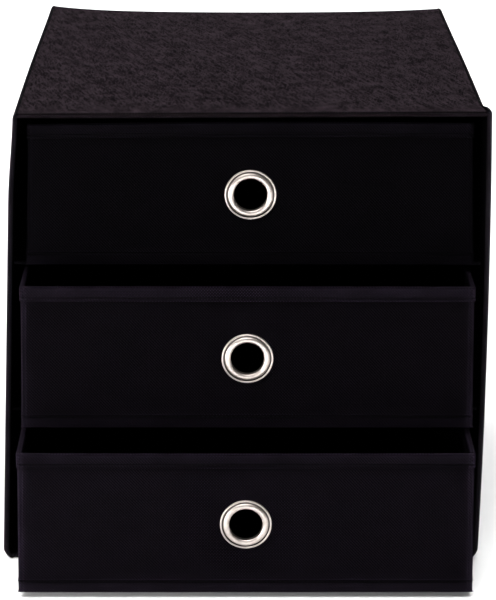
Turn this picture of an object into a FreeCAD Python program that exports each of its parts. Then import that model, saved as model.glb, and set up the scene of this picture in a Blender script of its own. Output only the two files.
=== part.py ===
import FreeCAD, Part
import math
import os

import Sketcher

# Fabric storage cube with three drawers.
# Frame: +Z up, +X to the right seen from the open front, which faces -Y.
# The origin is the middle of the case's underside.
# Every wall is a sewn fabric pocket with its own greyboard inside.

os.makedirs("parts", exist_ok=True)
doc = FreeCAD.newDocument("StorageCube")

# Driving sizes in millimetres, one named cell each.
DRIVING_SIZES = [
    ("cube_width", 320),
    ("cube_depth", 320),
    ("cube_height", 320),
    ("case_panel", 3.6),
    ("case_corner_round", 3),
    ("case_edge_round", 1.6),
    ("shelf_panel", 3.4),
    ("shelf_edge_round", 1.5),
    ("shelf_setback", 12),
    ("fabric", 0.5),
    ("board_play", 0.1),
    ("board_corner", 3),
    ("panel_seam", 6),
    ("wall_seam", 3.5),
    ("drawer_panel", 3),
    ("drawer_side_gap", 7),
    ("drawer_back_gap", 3),
    ("drawer_front_setback", 1),
    ("drawer_lift", 0.3),
    ("drawer_headroom", 2.7),
    ("drawer_corner_round", 2.4),
    ("hem_band", 10.2),
    ("hem_proud", 0.9),
    ("hem_round", 1.2),
    ("rim_closure", 1.5),
    ("seam_rise", 8),
    ("crease_width", 1.2),
    ("crease_depth", 0.3),
    ("foot_round", 1),
    ("base_fabric", 0.6),
    ("insert_panel", 2.8),
    ("insert_play", 1),
    ("insert_edge_round", 1),
    ("eyelet_bore_radius", 11),
    ("eyelet_wall", 0.7),
    ("eyelet_fit", 0.15),
    ("eyelet_ring_width", 4),
    ("eyelet_ring_lift", 0.8),
    ("eyelet_ring_crown", 1),
    ("eyelet_groove_width", 0.8),
    ("eyelet_groove_floor", 0.25),
    ("eyelet_bead_radius", 0.7),
    ("eyelet_bead_lift", 0.4),
    ("eyelet_curl", 0.9),
    ("washer_width", 4.2),
    ("washer_thickness", 0.8),
    ("washer_round", 0.4),
    ("middle_drawer_pull", 30),
    ("bottom_drawer_pull", 65),
]

# Sizes that follow from the driving ones, so that the drawers always fit their bays.
DERIVED_SIZES = [
    ("inner_width", "Sizes.cube_width - 2 * Sizes.case_panel"),
    ("inner_height", "Sizes.cube_height - 2 * Sizes.case_panel"),
    ("inner_depth", "Sizes.cube_depth - Sizes.case_panel"),
    ("bay_height", "(inner_height - 2 * Sizes.shelf_panel) / 3"),
    ("bay_pitch", "bay_height + Sizes.shelf_panel"),
    ("shelf_depth", "inner_depth - Sizes.shelf_setback"),
    ("rim_width", "inner_width - 2 * Sizes.drawer_side_gap"),
    ("body_width", "rim_width - 2 * Sizes.hem_proud"),
    ("drawer_height", "bay_height - Sizes.drawer_lift - Sizes.drawer_headroom"),
    ("drawer_depth", "inner_depth - Sizes.drawer_front_setback - Sizes.drawer_back_gap"),
    ("wall_length", "drawer_depth - 2 * Sizes.drawer_panel"),
    ("floor_width", "body_width - 2 * Sizes.drawer_panel"),
    ("insert_width", "floor_width - 2 * Sizes.insert_play"),
    ("insert_length", "wall_length - 2 * Sizes.insert_play"),
    ("hem_foot", "drawer_height - Sizes.hem_band"),
    ("board_foot", "Sizes.seam_rise + Sizes.crease_width"),
    ("board_head", "drawer_height - Sizes.rim_closure"),
    ("eyelet_rise", "drawer_height / 2"),
    ("barrel_radius", "Sizes.eyelet_bore_radius + Sizes.eyelet_wall"),
    ("hole_radius", "barrel_radius + Sizes.eyelet_fit"),
    ("washer_back", "Sizes.drawer_panel + Sizes.washer_thickness"),
]


def fill_sheet(name, rows):
    """A sheet with one named cell a row."""
    sheet = doc.addObject("Spreadsheet::Sheet", name)
    for row, (alias, content) in enumerate(rows, start=1):
        sheet.set(f"A{row}", alias)
        sheet.set(f"B{row}", content)
        sheet.setAlias(f"B{row}", alias)
    doc.recompute()
    return sheet


sizes = fill_sheet("Sizes", [(alias, str(size)) for alias, size in DRIVING_SIZES])
fill_sheet("Layout", [(alias, "=" + formula) for alias, formula in DERIVED_SIZES])
sub_parts = []


def value_of(formula):
    """What a formula over the two sheets comes to."""
    return float(sizes.evalExpression(formula))


def new_body(label):
    """A sub-part, whose label names its file."""
    body = doc.addObject("PartDesign::Body", label)
    body.Label = label
    sub_parts.append(body)
    return body


def origin_feature(body, role):
    return next(feature for feature in body.Origin.OriginFeatures if feature.Role == role)


def new_sketch(body, plane_role, name, offset="0"):
    """A sketch on one of the body's own origin planes, moved along its normal by offset."""
    sketch = body.newObject("Sketcher::SketchObject", f"{body.Name}_{name}")
    sketch.AttachmentSupport = [(origin_feature(body, plane_role), "")]
    sketch.MapMode = "FlatFace"
    sketch.setExpression("AttachmentOffset.Base.z", offset)
    return sketch


# A constraint counts the points of a line or arc in this order.
EDGE_POINTS = ("whole edge", "start", "end", "centre")
SKETCH_ORIGIN = (-1, EDGE_POINTS.index("start"))


def pin_point(sketch, edge, point, direction, formula):
    """Binds one coordinate of a point to a formula."""
    pinned = (edge, EDGE_POINTS.index(point))
    datum = Sketcher.Constraint(direction, *SKETCH_ORIGIN, *pinned, value_of(formula))
    number = sketch.addConstraint(datum)
    sketch.setExpression(f"Constraints[{number}]", formula)


def join_edges(sketch, edge, next_edge):
    """Makes one edge start where the one before it ends."""
    end = (edge, EDGE_POINTS.index("end"))
    start = (next_edge, EDGE_POINTS.index("start"))
    sketch.addConstraint(Sketcher.Constraint("Coincident", *end, *start))


def draw_outline(sketch, start, steps):
    """A closed outline, drawn anticlockwise. A step is (x, y) for a line to that point,
    or (x, y, centre x, centre y) for an arc to it. A last line closes the outline."""
    here = FreeCAD.Vector(value_of(start[0]), value_of(start[1]))
    last = len(steps)
    for number, step in enumerate(steps + [start]):
        there = FreeCAD.Vector(value_of(step[0]), value_of(step[1]))
        pinned = ["DistanceX", "DistanceY"]
        if len(step) == 2:
            sketch.addGeometry(Part.LineSegment(here, there), False)
        else:
            centre = FreeCAD.Vector(value_of(step[2]), value_of(step[3]))
            out, back = here - centre, there - centre
            circle = Part.Circle(centre, FreeCAD.Vector(0, 0, 1), out.Length)
            angles = (math.atan2(out.y, out.x), math.atan2(back.y, back.x))
            sketch.addGeometry(Part.ArcOfCircle(circle, *angles), False)
            pin_point(sketch, number, "centre", "DistanceX", step[2])
            pin_point(sketch, number, "centre", "DistanceY", step[3])
            pinned = ["DistanceX"] if abs(back.y) > abs(back.x) else ["DistanceY"]
        if number == 0:
            pin_point(sketch, number, "start", "DistanceX", start[0])
            pin_point(sketch, number, "start", "DistanceY", start[1])
        else:
            join_edges(sketch, number - 1, number)
        if number == last:
            join_edges(sketch, number, 0)
        else:
            for direction in pinned:
                formula = step[0] if direction == "DistanceX" else step[1]
                pin_point(sketch, number, "end", direction, formula)
        here = there


def draw_rectangle(sketch, left, right, low, high):
    draw_outline(sketch, (left, low), [(right, low), (right, high), (left, high)])


def draw_rounded_rectangle(sketch, left, right, low, high, radius):
    in_left, in_right = f"{left} + {radius}", f"{right} - {radius}"
    in_low, in_high = f"{low} + {radius}", f"{high} - {radius}"
    steps = [
        (in_left, low, in_left, in_low),
        (in_right, low),
        (right, in_low, in_right, in_low),
        (right, in_high),
        (in_right, high, in_right, in_high),
        (in_left, high),
        (left, in_high, in_left, in_high),
    ]
    draw_outline(sketch, (left, in_low), steps)


def draw_circle(sketch, x, y, radius):
    middle = FreeCAD.Vector(value_of(x), value_of(y))
    sketch.addGeometry(Part.Circle(middle, FreeCAD.Vector(0, 0, 1), value_of(radius)), False)
    pin_point(sketch, 0, "centre", "DistanceX", x)
    pin_point(sketch, 0, "centre", "DistanceY", y)
    number = sketch.addConstraint(Sketcher.Constraint("Radius", 0, value_of(radius)))
    sketch.setExpression(f"Constraints[{number}]", radius)


def pad(body, sketch, length):
    feature = body.newObject("PartDesign::Pad", f"{sketch.Name}_pad")
    feature.Profile = sketch
    feature.setExpression("Length", length)
    doc.recompute()


def cut_both_ways(body, sketch, length):
    """Cuts the sketch's area to both sides of its plane, and makes sure that it met the solid."""
    before = body.Shape.Volume
    feature = body.newObject("PartDesign::Pocket", f"{sketch.Name}_cut")
    feature.Profile = sketch
    feature.SideType = "Symmetric"
    feature.setExpression("Length", length)
    doc.recompute()
    if body.Shape.Volume >= before:
        raise RuntimeError(f"{sketch.Name} cuts nothing")


def revolve_about_y(body, sketch):
    feature = body.newObject("PartDesign::Revolution", f"{sketch.Name}_turned")
    feature.Profile = sketch
    feature.ReferenceAxis = (origin_feature(body, "Y_Axis"), [""])
    feature.Angle = 360
    doc.recompute()


def round_edges(body, name, radius, wanted):
    """Rounds each edge of the body so far whose box wanted() accepts."""
    tip = body.Tip
    edges = enumerate(tip.Shape.Edges, start=1)
    names = [f"Edge{number}" for number, edge in edges if wanted(edge.BoundBox)]
    feature = body.newObject("PartDesign::Fillet", f"{body.Name}_{name}")
    feature.Base = (tip, names)
    feature.setExpression("Radius", radius)
    doc.recompute()


# Two places nearer than this are the same place.
SAME_PLACE = 0.0001


def in_plane(box, axis, where):
    """True for the box of an edge that lies wholly where its axis coordinate is where."""
    reach = (getattr(box, axis + "Min"), getattr(box, axis + "Max"))
    return all(abs(end - where) < SAME_PLACE for end in reach)


def runs_along(box, axis):
    """True for the box of an edge that has some length in the axis direction."""
    return getattr(box, axis + "Length") > SAME_PLACE


def leave_board_space(body, low_corner, spans):
    """The closed space between the two fabric layers, which the board fills."""
    box = body.newObject("PartDesign::SubtractiveBox", f"{body.Name}_space")
    box.AttachmentSupport = [(origin_feature(body, "XY_Plane"), "")]
    box.MapMode = "FlatFace"
    for axis, formula in zip("xyz", low_corner):
        box.setExpression(f"AttachmentOffset.Base.{axis}", formula)
    for side, formula in zip(("Length", "Width", "Height"), spans):
        box.setExpression(side, formula)
    doc.recompute()


def place(body, position, axis=(0, 0, 1), angle=0):
    turn = FreeCAD.Rotation(FreeCAD.Vector(*axis), angle)
    body.Placement = FreeCAD.Placement(FreeCAD.Vector(0, 0, 0), turn)
    for direction, formula in zip("xyz", position):
        body.setExpression(f"Placement.Base.{direction}", formula)


# Flat panels of the case, the shelves and the drawers' inserts.
# Their own frame: x across and centred, y back from the front edge, z in from the outer face.


def flat_panel(label, width, length, thickness):
    """The sewn pocket before its edges are rounded."""
    body = new_body(f"{label}_cover")
    sketch = new_sketch(body, "XY_Plane", "outline")
    draw_rectangle(sketch, f"-{width} / 2", f"{width} / 2", "0", length)
    pad(body, sketch, thickness)
    return body


def fill_panel(body, label, width, length, thickness):
    """The panel's board space inside the seam allowance, and the board in it."""
    low_corner = (f"Sizes.panel_seam - {width} / 2", "Sizes.panel_seam", "Sizes.fabric")
    spans = (
        f"{width} - 2 * Sizes.panel_seam",
        f"{length} - 2 * Sizes.panel_seam",
        f"{thickness} - 2 * Sizes.fabric",
    )
    leave_board_space(body, low_corner, spans)
    board = new_body(f"{label}_board")
    sketch = new_sketch(board, "XY_Plane", "outline", "Sizes.fabric + Sizes.board_play")
    inset = "Sizes.panel_seam + Sizes.board_play"
    draw_rounded_rectangle(
        sketch,
        f"{inset} - {width} / 2",
        f"{width} / 2 - ({inset})",
        inset,
        f"{length} - ({inset})",
        "Sizes.board_corner",
    )
    pad(board, sketch, f"{thickness} - 2 * (Sizes.fabric + Sizes.board_play)")
    return board


def soften_front(body, radius):
    round_edges(body, "front_edge", radius, lambda box: in_plane(box, "Y", 0))


def soften_front_long_edges(body, radius):
    """For a panel whose ends meet others: only its two long front edges are rounded."""

    def long_front_edge(box):
        return in_plane(box, "Y", 0) and runs_along(box, "X")

    round_edges(body, "front_edge", radius, long_front_edge)


def make_side_panel(label, direction):
    """A side runs the full height and depth, so its outer edges show and are rounded."""
    width, length, thickness = "Sizes.cube_height", "Sizes.cube_depth", "Sizes.case_panel"
    cover = flat_panel(label, width, length, thickness)
    depth = value_of(length)

    def outer_edge(box):
        return in_plane(box, "Z", 0) and (runs_along(box, "Y") or in_plane(box, "Y", depth))

    round_edges(cover, "outer_edge", "Sizes.case_corner_round", outer_edge)
    soften_front(cover, "Sizes.case_edge_round")
    board = fill_panel(cover, label, width, length, thickness)
    for body in (cover, board):
        position = (f"{direction} * Sizes.cube_width / 2", "-Sizes.cube_depth / 2", "Sizes.cube_height / 2")
        place(body, position, (0, 1, 0), -90 * direction)


def make_level_panel(label, length, thickness, edge_round, front, height, turn):
    """A top, base or shelf between the two sides, from its front edge to the back panel."""
    cover = flat_panel(label, "Layout.inner_width", length, thickness)
    soften_front_long_edges(cover, edge_round)
    board = fill_panel(cover, label, "Layout.inner_width", length, thickness)
    for body in (cover, board):
        place(body, ("0", front, height), (0, 1, 0), turn)


def make_back_panel(label):
    """The back stands between the sides at their full height."""
    width, length, thickness = "Layout.inner_width", "Sizes.cube_height", "Sizes.case_panel"
    cover = flat_panel(label, width, length, thickness)
    height = value_of(length)

    def outer_end(box):
        return in_plane(box, "Z", 0) and (in_plane(box, "Y", 0) or in_plane(box, "Y", height))

    round_edges(cover, "outer_edge", "Sizes.case_edge_round", outer_end)
    board = fill_panel(cover, label, width, length, thickness)
    for body in (cover, board):
        place(body, ("0", "Sizes.cube_depth / 2", "0"), (1, 0, 0), 90)


def make_case():
    front = "-Sizes.cube_depth / 2"
    panel, edge = "Sizes.case_panel", "Sizes.case_edge_round"
    make_side_panel("case_left", -1)
    make_side_panel("case_right", 1)
    make_level_panel("case_top", "Layout.inner_depth", panel, edge, front, "Sizes.cube_height", 180)
    make_level_panel("case_base", "Layout.inner_depth", panel, edge, front, "0", 0)
    make_back_panel("case_back")
    for label, bays in (("lower_shelf", 1), ("upper_shelf", 2)):
        make_level_panel(
            label,
            "Layout.shelf_depth",
            "Sizes.shelf_panel",
            "Sizes.shelf_edge_round",
            f"{front} + Sizes.shelf_setback",
            f"Sizes.case_panel + {bays} * Layout.bay_pitch - Sizes.shelf_panel",
            0,
        )


# Upright drawer walls.
# Their own frame: x along the wall and centred, y in from the outer face, z up from the foot.


def draw_wall_footprint(sketch, span, outer_face, rounded):
    """A wall seen from above. A front or back wall turns the drawer's two outer corners."""
    left, right, inner_face = f"-{span} / 2", f"{span} / 2", "Sizes.drawer_panel"
    if not rounded:
        draw_rectangle(sketch, left, right, outer_face, inner_face)
        return
    radius = "Sizes.drawer_corner_round"
    in_left, in_right, in_face = f"{left} + {radius}", f"{right} - {radius}", f"{outer_face} + {radius}"
    steps = [
        (in_left, outer_face, in_left, in_face),
        (in_right, outer_face),
        (right, in_face, in_right, in_face),
        (right, inner_face),
        (left, inner_face),
    ]
    draw_outline(sketch, (left, in_face), steps)


def press_stitch_crease(body, span):
    """The shallow groove that the lower line of stitching pulls into the outer face."""
    sketch = new_sketch(body, "YZ_Plane", "crease")
    outside = "-Sizes.crease_depth"
    steps = [
        ("Sizes.crease_depth", "Sizes.seam_rise"),
        (outside, "Sizes.seam_rise + Sizes.crease_width"),
    ]
    draw_outline(sketch, (outside, "Sizes.seam_rise - Sizes.crease_width"), steps)
    cut_both_ways(body, sketch, f"2 * {span}")


def make_wall_cover(label, body_span, hem_span, rounded):
    """The sewn pocket of one drawer wall, with its folded hem standing proud at the rim."""
    body = new_body(f"{label}_cover")
    sketch = new_sketch(body, "XY_Plane", "wall")
    draw_wall_footprint(sketch, body_span, "0", rounded)
    pad(body, sketch, "Layout.hem_foot")
    sketch = new_sketch(body, "XY_Plane", "hem", "Layout.hem_foot")
    draw_wall_footprint(sketch, hem_span, "-Sizes.hem_proud", rounded)
    pad(body, sketch, "Sizes.hem_band")
    rim, inner_face = value_of("Layout.drawer_height"), value_of("Sizes.drawer_panel")

    def rim_edge(box):
        return in_plane(box, "Z", rim) and (rounded or runs_along(box, "X"))

    def foot_edge(box):
        outside = in_plane(box, "Z", 0) and not in_plane(box, "Y", inner_face)
        return outside and (rounded or runs_along(box, "X"))

    round_edges(body, "rim", "Sizes.hem_round", rim_edge)
    round_edges(body, "foot", "Sizes.foot_round", foot_edge)
    press_stitch_crease(body, body_span)
    low_corner = (f"Sizes.wall_seam - {body_span} / 2", "Sizes.fabric", "Layout.board_foot")
    spans = (
        f"{body_span} - 2 * Sizes.wall_seam",
        "Sizes.drawer_panel - 2 * Sizes.fabric",
        "Layout.board_head - Layout.board_foot",
    )
    leave_board_space(body, low_corner, spans)
    return body


def make_wall_board(label, span):
    body = new_body(f"{label}_board")
    inset = "Sizes.wall_seam + Sizes.board_play"
    back_face = "Sizes.drawer_panel - Sizes.fabric - Sizes.board_play"
    sketch = new_sketch(body, "XZ_Plane", "outline", f"-({back_face})")
    draw_rounded_rectangle(
        sketch,
        f"{inset} - {span} / 2",
        f"{span} / 2 - ({inset})",
        "Layout.board_foot + Sizes.board_play",
        "Layout.board_head - Sizes.board_play",
        "Sizes.board_corner",
    )
    pad(body, sketch, "Sizes.drawer_panel - 2 * (Sizes.fabric + Sizes.board_play)")
    return body


def punch_eyelet_hole(body):
    sketch = new_sketch(body, "XZ_Plane", "eyelet_hole")
    draw_circle(sketch, "0", "Layout.eyelet_rise", "Layout.hole_radius")
    cut_both_ways(body, sketch, "4 * Sizes.drawer_panel")


# The eyelet's own frame: y runs along its bore from the wall's outer face inwards.


def make_eyelet(label):
    """A pressed metal ring: bore, crowned face, groove, outer bead, and a barrel that goes
    through the wall and is rolled out over the washer."""
    body = new_body(label)
    sketch = new_sketch(body, "XY_Plane", "section")
    bore, barrel = "Sizes.eyelet_bore_radius", "Layout.barrel_radius"
    half_ring, crown = "Sizes.eyelet_ring_width / 2", "Sizes.eyelet_ring_crown"
    crown_radius = f"(({half_ring})^2 + {crown}^2) / (2 * {crown})"
    ring_edge = f"{bore} + Sizes.eyelet_ring_width"
    ring_face = "-Sizes.eyelet_ring_lift"
    ring_centre = (f"{bore} + {half_ring}", f"{ring_face} - {crown} + {crown_radius}")
    groove_edge = f"{ring_edge} + Sizes.eyelet_groove_width"
    bead_centre = (f"{groove_edge} + Sizes.eyelet_bead_radius", "-Sizes.eyelet_bead_lift")
    flange = f"{groove_edge} + 2 * Sizes.eyelet_bead_radius"
    rolled_end = "Layout.washer_back + Sizes.eyelet_curl"
    steps = [
        (ring_edge, ring_face, *ring_centre),
        (f"{ring_edge} + Sizes.eyelet_groove_width / 2", "-Sizes.eyelet_groove_floor"),
        (groove_edge, bead_centre[1]),
        (flange, bead_centre[1], *bead_centre),
        (flange, "0"),
        (barrel, "0"),
        (barrel, "Layout.washer_back"),
        (f"{barrel} + Sizes.eyelet_curl", "Layout.washer_back"),
        (barrel, rolled_end, barrel, "Layout.washer_back"),
        (bore, rolled_end),
    ]
    draw_outline(sketch, (bore, ring_face), steps)
    revolve_about_y(body, sketch)
    return body


def make_washer(label):
    body = new_body(label)
    sketch = new_sketch(body, "XY_Plane", "section")
    inner = "Layout.hole_radius"
    outer = f"{inner} + Sizes.washer_width"
    front, back, rounding = "Sizes.drawer_panel", "Layout.washer_back", "Sizes.washer_round"
    steps = [
        (outer, front),
        (outer, f"{back} - {rounding}"),
        (f"{outer} - {rounding}", back, f"{outer} - {rounding}", f"{back} - {rounding}"),
        (inner, back),
    ]
    draw_outline(sketch, (inner, front), steps)
    revolve_about_y(body, sketch)
    return body


def make_drawer(name, bays_below, pull):
    """One drawer, built in the place where it stands: bays_below gives its bay, pull how far
    it is drawn out of the case."""
    face = f"-Sizes.cube_depth / 2 + Sizes.drawer_front_setback - {pull}"
    foot = f"Sizes.case_panel + {bays_below} * Layout.bay_pitch + Sizes.drawer_lift"
    side = "Layout.body_width / 2"
    back = f"{face} + Layout.drawer_depth"
    middle = f"{face} + Layout.drawer_depth / 2"
    walls = [
        ("front", "Layout.body_width", "Layout.rim_width", True, ("0", face, foot), 0),
        ("back", "Layout.body_width", "Layout.rim_width", True, ("0", back, foot), 180),
        ("left", "Layout.wall_length", "Layout.wall_length", False, (f"-{side}", middle, foot), -90),
        ("right", "Layout.wall_length", "Layout.wall_length", False, (side, middle, foot), 90),
    ]
    for wall, body_span, hem_span, rounded, position, angle in walls:
        label = f"{name}_drawer_{wall}"
        cover = make_wall_cover(label, body_span, hem_span, rounded)
        board = make_wall_board(label, body_span)
        for body in (cover, board):
            if wall == "front":
                punch_eyelet_hole(body)
            place(body, position, (0, 0, 1), angle)

    floor_front = f"{face} + Sizes.drawer_panel"
    base = new_body(f"{name}_drawer_base_cover")
    sketch = new_sketch(base, "XY_Plane", "outline")
    draw_rectangle(sketch, "-Layout.floor_width / 2", "Layout.floor_width / 2", "0", "Layout.wall_length")
    pad(base, sketch, "Sizes.base_fabric")
    place(base, ("0", floor_front, foot))

    label = f"{name}_drawer_insert"
    width, length, thickness = "Layout.insert_width", "Layout.insert_length", "Sizes.insert_panel"
    cover = flat_panel(label, width, length, thickness)
    upper_face = value_of(thickness)
    round_edges(cover, "upper_edge", "Sizes.insert_edge_round", lambda box: in_plane(box, "Z", upper_face))
    board = fill_panel(cover, label, width, length, thickness)
    for body in (cover, board):
        place(body, ("0", f"{floor_front} + Sizes.insert_play", f"{foot} + Sizes.base_fabric"))

    for body in (make_eyelet(f"{name}_drawer_eyelet"), make_washer(f"{name}_drawer_eyelet_washer")):
        place(body, ("0", face, f"{foot} + Layout.eyelet_rise"))


def write_sub_parts():
    """Refuses a model with a failed feature, and writes each sub-part to its own file."""
    doc.recompute()
    for item in doc.Objects:
        if "Invalid" in item.State or "Error" in item.State:
            raise RuntimeError(f"{item.Name} failed: {item.State}")
    for body in sub_parts:
        if body.Shape.isNull() or not body.Shape.isValid() or len(body.Shape.Solids) != 1:
            raise RuntimeError(f"{body.Label} is not one valid solid")
        body.Shape.exportStep(f"parts/{body.Label}.step")
    print(len(sub_parts), "sub-parts written")


make_case()
make_drawer("bottom", 0, "Sizes.bottom_drawer_pull")
make_drawer("middle", 1, "Sizes.middle_drawer_pull")
make_drawer("top", 2, "0")
write_sub_parts()
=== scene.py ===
import math
from collections import namedtuple

import bmesh
import bpy
from mathutils import Matrix, Vector, noise


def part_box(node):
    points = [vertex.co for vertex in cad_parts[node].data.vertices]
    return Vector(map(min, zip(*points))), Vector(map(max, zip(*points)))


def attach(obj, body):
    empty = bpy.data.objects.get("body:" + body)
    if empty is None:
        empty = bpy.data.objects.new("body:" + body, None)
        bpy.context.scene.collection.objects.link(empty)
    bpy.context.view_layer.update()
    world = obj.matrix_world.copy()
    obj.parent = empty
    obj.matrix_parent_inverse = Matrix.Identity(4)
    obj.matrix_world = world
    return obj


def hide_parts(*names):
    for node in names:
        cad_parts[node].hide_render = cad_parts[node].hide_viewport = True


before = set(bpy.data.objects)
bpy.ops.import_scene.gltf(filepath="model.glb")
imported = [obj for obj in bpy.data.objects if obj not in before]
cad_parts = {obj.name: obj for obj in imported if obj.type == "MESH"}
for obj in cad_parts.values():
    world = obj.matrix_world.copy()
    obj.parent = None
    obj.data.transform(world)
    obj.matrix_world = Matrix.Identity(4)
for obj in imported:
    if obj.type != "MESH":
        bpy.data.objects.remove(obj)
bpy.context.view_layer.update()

# Fabric storage cube with three drawers. Pieces are shaped in millimetres, each in the flat
# frame of its own panel, and then put in place and scaled to metres.

MM = 0.001
MM_PER_CM = 10

# Sizes of the sewn panels, as the frame has them: how thick each is, where a wall's hem and
# seams are above its foot, its cloth, and where the greyboards end inside the seams.
CASE_PANEL = 3.6
SHELF_PANEL = 3.4
WALL = 3.0
WALL_HEIGHT = 99.0
CORNER_ROUND = 2.4
HEM_FOOT = 88.8
HEM_PROUD = 0.9
RIM_ROUND = 1.4
FOOT_ROUND = 1.0
LOWER_SEAM = 8.0
HEM_SEAM = 91.5
CLOTH = 0.6
PANEL_SEAM = 6.1
BOARD_EDGE = 3.5
BOARD_FOOT = 9.3
BOARD_HEAD = 97.4
BOARD_CORNER = 3

# The eyelet: how high its centre is above the drawer's foot, the hole for it, and its section.
EYELET_RISE = 49.5
EYELET_HOLE = 11.85
EYELET_BORE = 11.0
RING_WIDTH = 4.0
RING_CROWN = 1.0
RING_LIFT = 0.8
GROOVE_WIDTH = 0.8
BEAD_RADIUS = 0.7
BARREL_OUTER = 11.7
BARREL_END = 3.8
ROLL_RADIUS = 0.9
# The washer's inner radius, width and thickness.
WASHER = (11.85, 4.2, 0.8)
# The wall is flat within the first of these distances from the centre, and swells fully
# beyond the second.
FLAT_ROUND_EYELET = (18.0, 34)

# Sewing thread: from one stitch to the next, a stitch's length and thickness, and how far the
# rows stay off a panel's ends.
STITCH_PITCH = 3.1
STITCH_LENGTH = 2.3
THREAD_THICKNESS = 0.42
SEAM_END = 2.6

# How each soft drawer has settled: moved aside, sunk, its sides pinched in at the rim and at the
# foot, its rim drooping at the left and at the right, and how strong the painted highlights on
# its corner folds and its hem are; the top drawer, in the case's shade, has almost none on its
# folds.
Settled = namedtuple(
    "Settled", "aside down rim_pinch foot_pinch left_droop right_droop fold_share hem_share"
)
DRAWERS = {
    "bottom": Settled(-0.5, 0.0, -1.4, -3.2, -0.6, -0.6, 1.0, 0.4),
    "middle": Settled(0.5, 1.3, -0.4, -2.2, 0.0, 0.0, 1.0, 1.9),
    "top": Settled(2.4, 2.1, 2.9, -0.6, 3.1, 1.8, 0.05, 0.9),
}
# How far each shelf has sunk under its drawer.
SHELF_SAG = {"lower": 1.3, "upper": 2.1}


# ---------------------------------------------------------------- finishes


def add_node(tree, kind, values=(), **settings):
    """A node with its settings, its inputs filled in order by numbers or linked sockets."""
    node = tree.nodes.new(kind)
    for name, setting in settings.items():
        setattr(node, name, setting)
    for socket, value in zip(node.inputs, values):
        if isinstance(value, bpy.types.NodeSocket):
            tree.links.new(value, socket)
        elif value is not None:
            socket.default_value = value
    return node


def math_node(tree, operation, *values, clamp=False):
    node = add_node(tree, "ShaderNodeMath", values, operation=operation, use_clamp=clamp)
    return node.outputs[0]


def noise_node(tree, place, scale, detail, roughness, dimensions="3D"):
    """A cloudy value from 0 to 1."""
    values = (place, None, scale, detail, roughness)
    node = add_node(tree, "ShaderNodeTexNoise", values, noise_dimensions=dimensions)
    return node.outputs[0]


def tone_ramp(tree, value, dark, pale, start=0.0, end=1.0):
    """A colour that goes from dark to pale as the value goes from start to end."""
    ramp = add_node(tree, "ShaderNodeValToRGB", (value,))
    first, last = ramp.color_ramp.elements
    first.position, first.color = start, (*dark, 1)
    last.position, last.color = end, (*pale, 1)
    return ramp.outputs[0]


def bump_from(tree, shader, height, depth, strength=1.0):
    bump = add_node(tree, "ShaderNodeBump", (strength, depth))
    tree.links.new(height, bump.inputs["Height"])
    tree.links.new(bump.outputs[0], shader.inputs["Normal"])


def object_place(tree):
    return add_node(tree, "ShaderNodeTexCoord").outputs["Object"]


def new_finish(name, roughness, specular, metallic=0.0):
    finish = bpy.data.materials.new(name)
    finish.use_nodes = True
    shader = finish.node_tree.nodes["Principled BSDF"]
    shader.inputs["Roughness"].default_value = roughness
    shader.inputs["Specular IOR Level"].default_value = specular
    shader.inputs["Metallic"].default_value = metallic
    return finish, finish.node_tree, shader


def panel_plane(tree):
    """The panel's own flat coordinates in centimetres, from its UV map."""
    return add_node(tree, "ShaderNodeUVMap", uv_map="panel").outputs["UV"]


def own_value(tree, name):
    """A value that the piece's own mesh carries for each point."""
    return add_node(tree, "ShaderNodeAttribute", attribute_name=name).outputs["Fac"]


# The bond points' pitch in millimetres, across and up. A web is laid from three layers of
# filaments: how far each is turned from the first in degrees, and its grain's width and length.
BOND_PITCH = (1.95, 2.13)
BOND_SHARPNESS = 8.0
BOND_BRIGHTNESS = 12.0
FIBRE_LAYERS = ((0, 1.5, 15), (-10, 1.9, 20), (24, 1.3, 9))
FIBRE_FINENESS = 18


def fibre_layer(tree, plane, angle, width, length):
    """Thin bright filaments in one direction: the level lines of a drawn-out noise."""
    turn = (0, 0, math.radians(angle))
    size = (width / MM_PER_CM, length / MM_PER_CM, 1)
    laid = add_node(tree, "ShaderNodeMapping", (plane, None, turn, size), vector_type="TEXTURE")
    cloud = noise_node(tree, laid.outputs[0], 1.0, 2.0, 0.5, "2D")
    away = math_node(tree, "ABSOLUTE", math_node(tree, "SUBTRACT", cloud, 0.5))
    fallen = math_node(tree, "MULTIPLY", away, FIBRE_FINENESS)
    return math_node(tree, "SUBTRACT", 1.0, fallen, clamp=True)


def diamond_emboss(tree, plane):
    """The staggered bond points pressed into the web, from -1 to 1."""
    across, up, _ = add_node(tree, "ShaderNodeSeparateXYZ", (plane,)).outputs
    waves = []
    for way, pitch in zip((across, up), BOND_PITCH):
        turned = math_node(tree, "MULTIPLY", way, 2 * math.pi * MM_PER_CM / pitch)
        waves.append(math_node(tree, "COSINE", turned))
    return math_node(tree, "MULTIPLY", *waves)


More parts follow.
